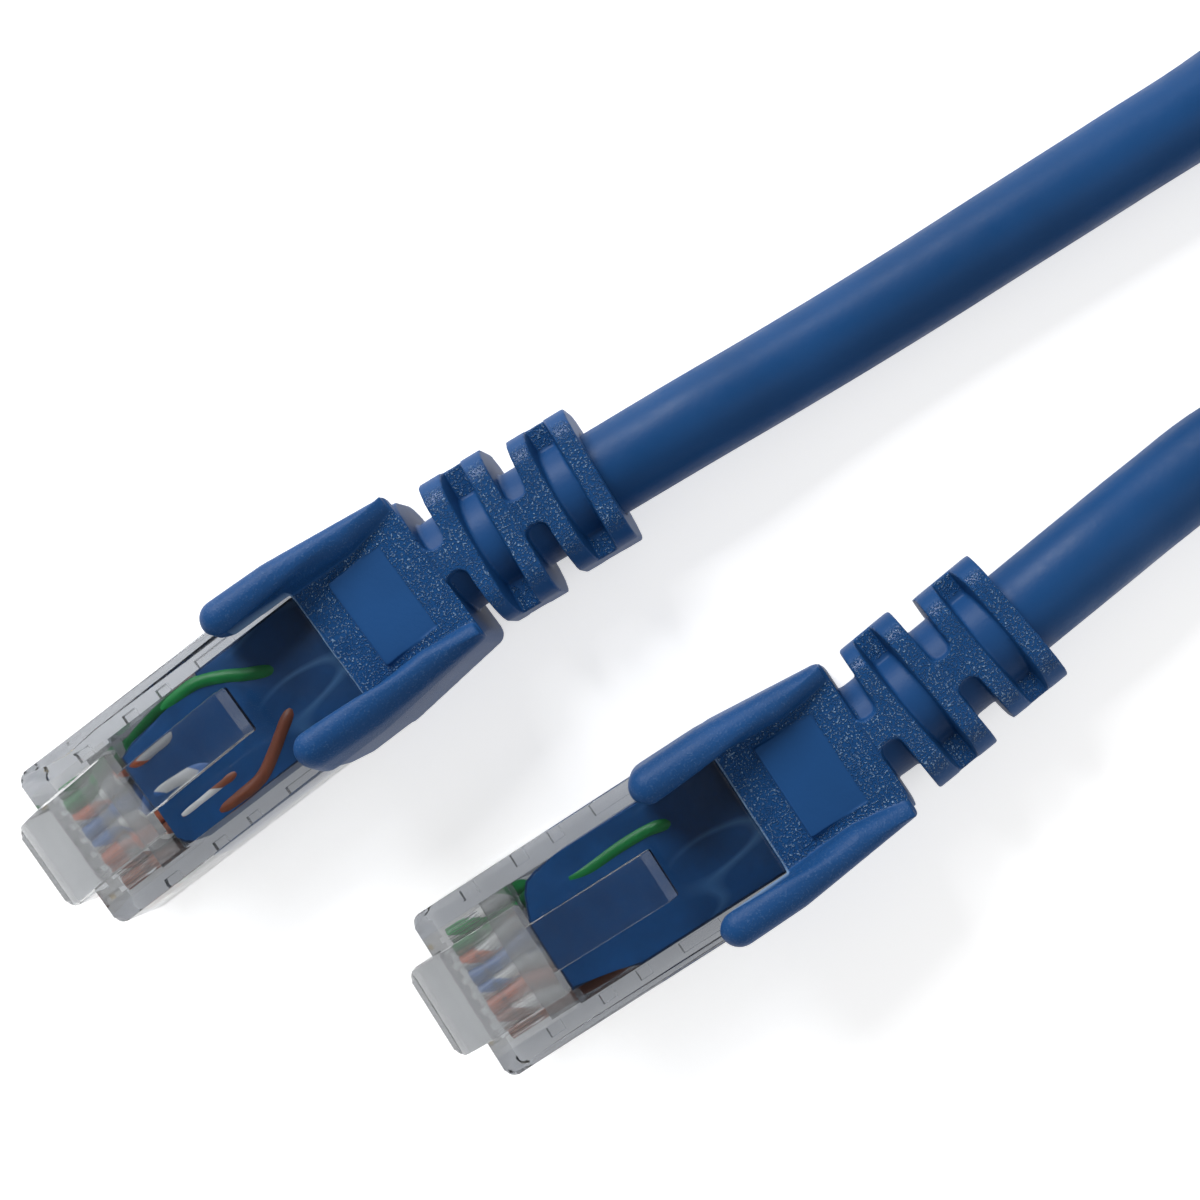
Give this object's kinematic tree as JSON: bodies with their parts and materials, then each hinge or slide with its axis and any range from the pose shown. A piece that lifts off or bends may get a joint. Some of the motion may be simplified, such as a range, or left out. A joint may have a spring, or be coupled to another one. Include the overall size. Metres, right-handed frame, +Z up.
{
  "type": "ethernet patch cable",
  "caption": "Network patch cable with clear eight-contact modular plugs, moulded slotted boots and a round jacketed cord that lies in a tied coil.",
  "frame": {"origin": "middle of the box round the two plugs with their boots, on the surface that the cable lies on", "axes": "+X from the plugs towards the cord, along plug B; +Z up from the surface, on the latch side"},
  "size_m": [0.1618, 0.0669, 0.0147],
  "materials": {
    "clear_polycarbonate": "clear moulded polycarbonate, gloss",
    "boot_pvc": "blue PVC, satin with eroded texture on the tops",
    "jacket_pvc": "blue PVC jacket, satin",
    "gold_plate": "gold plated, polished",
    "copper": "drawn copper",
    "wire_white_green": "white insulation with a green stripe",
    "wire_green": "green insulation",
    "wire_white_orange": "white insulation with an orange stripe",
    "wire_blue": "blue insulation",
    "wire_white_blue": "white insulation with a blue stripe",
    "wire_orange": "orange insulation",
    "wire_white_brown": "white insulation with a brown stripe",
    "wire_brown": "brown insulation",
    "tie_fabric": "black hook and loop strap"
  },
  "bodies": {
    "root": {"plug_a_housing": "clear_polycarbonate", "plug_a_load_bar": "clear_polycarbonate", "plug_a_contacts": "gold_plate", "plug_a_wire_1": "wire_white_green", "plug_a_wire_2": "wire_green", "plug_a_wire_3": "wire_white_orange", "plug_a_wire_4": "wire_blue", "plug_a_wire_5": "wire_white_blue", "plug_a_wire_6": "wire_orange", "plug_a_wire_7": "wire_white_brown", "plug_a_wire_8": "wire_brown", "plug_a_conductors": "copper", "plug_a_inner_mould": "boot_pvc", "plug_a_jacket_end": "jacket_pvc", "plug_a_boot": "boot_pvc", "plug_b_housing": "clear_polycarbonate", "plug_b_load_bar": "clear_polycarbonate", "plug_b_contacts": "gold_plate", "plug_b_wire_1": "wire_white_green", "plug_b_wire_2": "wire_green", "plug_b_wire_3": "wire_white_orange", "plug_b_wire_4": "wire_blue", "plug_b_wire_5": "wire_white_blue", "plug_b_wire_6": "wire_orange", "plug_b_wire_7": "wire_white_brown", "plug_b_wire_8": "wire_brown", "plug_b_conductors": "copper", "plug_b_inner_mould": "boot_pvc", "plug_b_jacket_end": "jacket_pvc", "plug_b_boot": "boot_pvc", "cable_run_a": "jacket_pvc", "cable_coil": "jacket_pvc", "cable_run_b": "jacket_pvc", "coil_tie": "tie_fabric"},
    "plug_a_latch": {"plug_a_latch_lever": "clear_polycarbonate"},
    "plug_b_latch": {"plug_b_latch_lever": "clear_polycarbonate"}
  },
  "joints": [
    {"name": "latch_a", "type": "hinge", "parent": "root", "child": "plug_a_latch", "pos_m": [-0.0294, 0.00988, 0.0072], "axis": [-0.0645, 0.9979, 0], "range_deg": [0, 9.5], "stiffness_Nm_per_rad": 0.3},
    {"name": "latch_b", "type": "hinge", "parent": "root", "child": "plug_b_latch", "pos_m": [-0.0129, -0.01135, 0.0072], "axis": [0, 1, 0], "range_deg": [0, 9.5], "stiffness_Nm_per_rad": 0.3}
  ]
}
